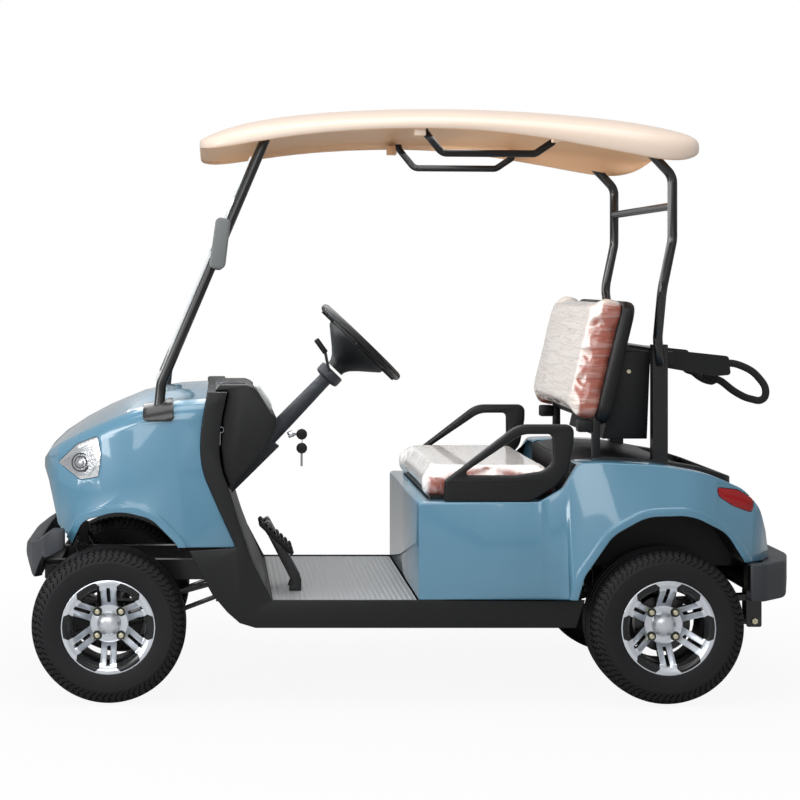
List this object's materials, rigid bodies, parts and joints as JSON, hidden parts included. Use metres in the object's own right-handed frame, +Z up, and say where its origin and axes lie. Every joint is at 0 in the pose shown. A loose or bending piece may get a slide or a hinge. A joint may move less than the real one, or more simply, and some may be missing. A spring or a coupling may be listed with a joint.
{
  "type": "two-seat golf cart",
  "caption": "Electric golf cart: moulded body, canopy roof, bench seat, windscreen, bag holder and steerable front wheels.",
  "frame": {"origin": "on the ground, midway along and across the cart", "axes": "+X to the rear, -X is the driving direction, -Y is the driver's (left) side, +Z up"},
  "size_m": [2.3907, 1.19, 1.809],
  "materials": {
    "blue_paint": "glossy painted moulding",
    "black_plastic": "textured moulded plastic",
    "black_metal": "satin black powder coat",
    "mat_rubber": "ribbed mat",
    "lamp_lens": "clear lens over a bright reflector",
    "red_lens": "red lens",
    "battery_case": "plain",
    "axle_steel": "black painted steel",
    "brown_leather": "leather under a clear film",
    "webbing": "woven strap",
    "beige_plastic": "moulded",
    "clear_sheet": "clear acrylic",
    "steering_grip": "moulded grip",
    "alloy": "machined face with black pockets",
    "tyre": "moulded rubber"
  },
  "bodies": {
    "root": {"chassis_frame": "axle_steel", "floor_tray": "black_plastic", "floor_mat": "mat_rubber", "front_cowl": "blue_paint", "dashboard": "black_plastic", "headlamps": "lamp_lens", "front_bumper": "black_plastic", "rear_body": "blue_paint", "rear_deck": "black_plastic", "rear_bumper": "black_plastic", "tail_lamps": "red_lens", "arch_liners": "black_plastic", "battery_pack": "battery_case", "front_axle": "axle_steel", "front_suspension": "axle_steel", "rear_axle": "axle_steel", "rear_suspension": "axle_steel", "hip_restraints": "black_metal", "back_cushion": "brown_leather", "backrest_shell": "black_plastic", "rear_pillars": "black_metal", "sweater_bin": "black_plastic", "bag_holder": "black_plastic", "bag_straps": "webbing", "roof": "beige_plastic", "grab_rails": "black_metal", "front_pillars": "black_metal", "windscreen": "clear_sheet", "mirrors": "black_plastic", "steering_column": "black_plastic", "pedals": "black_metal"},
    "seat_lid": {"seat_board": "black_plastic", "seat_cushion": "brown_leather"},
    "steering_wheel": {"steering_wheel": "steering_grip"},
    "left_knuckle": {"left_knuckle": "axle_steel"},
    "right_knuckle": {"right_knuckle": "axle_steel"},
    "tie_rod": {"tie_rod": "axle_steel"},
    "front_left_wheel": {"front_left_wheel": "alloy", "front_left_tyre": "tyre"},
    "front_right_wheel": {"front_right_wheel": "alloy", "front_right_tyre": "tyre"},
    "rear_left_wheel": {"rear_left_wheel": "alloy", "rear_left_tyre": "tyre"},
    "rear_right_wheel": {"rear_right_wheel": "alloy", "rear_right_tyre": "tyre"}
  },
  "joints": [
    {"name": "left_steer", "type": "hinge", "parent": "root", "child": "left_knuckle", "pos_m": [-0.9165, -0.395, 0.233], "axis": [0, 0, 1], "range_deg": [-27, 27]},
    {"name": "right_steer", "type": "hinge", "parent": "root", "child": "right_knuckle", "pos_m": [-0.9165, 0.395, 0.233], "axis": [0, 0, 1], "range_deg": [-27, 27]},
    {"name": "tie_rod_pivot", "type": "hinge", "parent": "left_knuckle", "child": "tie_rod", "pos_m": [-0.8215, -0.365, 0.157], "axis": [0, 0, 1], "range_deg": [-30, 30]},
    {"name": "steering_wheel_turn", "type": "hinge", "parent": "root", "child": "steering_wheel", "pos_m": [-0.1445, -0.265, 1.074], "axis": [0.6947, 0, 0.7193], "range_deg": [-351, 351]},
    {"name": "seat_lid_hinge", "type": "hinge", "parent": "root", "child": "seat_lid", "pos_m": [0.0275, 0, 0.6053], "axis": [0, -1, 0], "range_deg": [0, 75]},
    {"name": "front_left_spin", "type": "hinge", "parent": "left_knuckle", "child": "front_left_wheel", "pos_m": [-0.9165, -0.473, 0.233], "axis": [0, 1, 0], "continuous": true},
    {"name": "front_right_spin", "type": "hinge", "parent": "right_knuckle", "child": "front_right_wheel", "pos_m": [-0.9165, 0.473, 0.233], "axis": [0, 1, 0], "continuous": true},
    {"name": "rear_left_spin", "type": "hinge", "parent": "root", "child": "rear_left_wheel", "pos_m": [0.7495, -0.492, 0.233], "axis": [0, 1, 0], "continuous": true},
    {"name": "rear_right_spin", "type": "hinge", "parent": "root", "child": "rear_right_wheel", "pos_m": [0.7495, 0.492, 0.233], "axis": [0, 1, 0], "continuous": true}
  ],
  "couplings": [
    {"joint": "right_steer", "follows": "left_steer", "ratio": 1},
    {"joint": "tie_rod_pivot", "follows": "left_steer", "ratio": -1.0822},
    {"joint": "steering_wheel_turn", "follows": "left_steer", "ratio": 13}
  ]
}
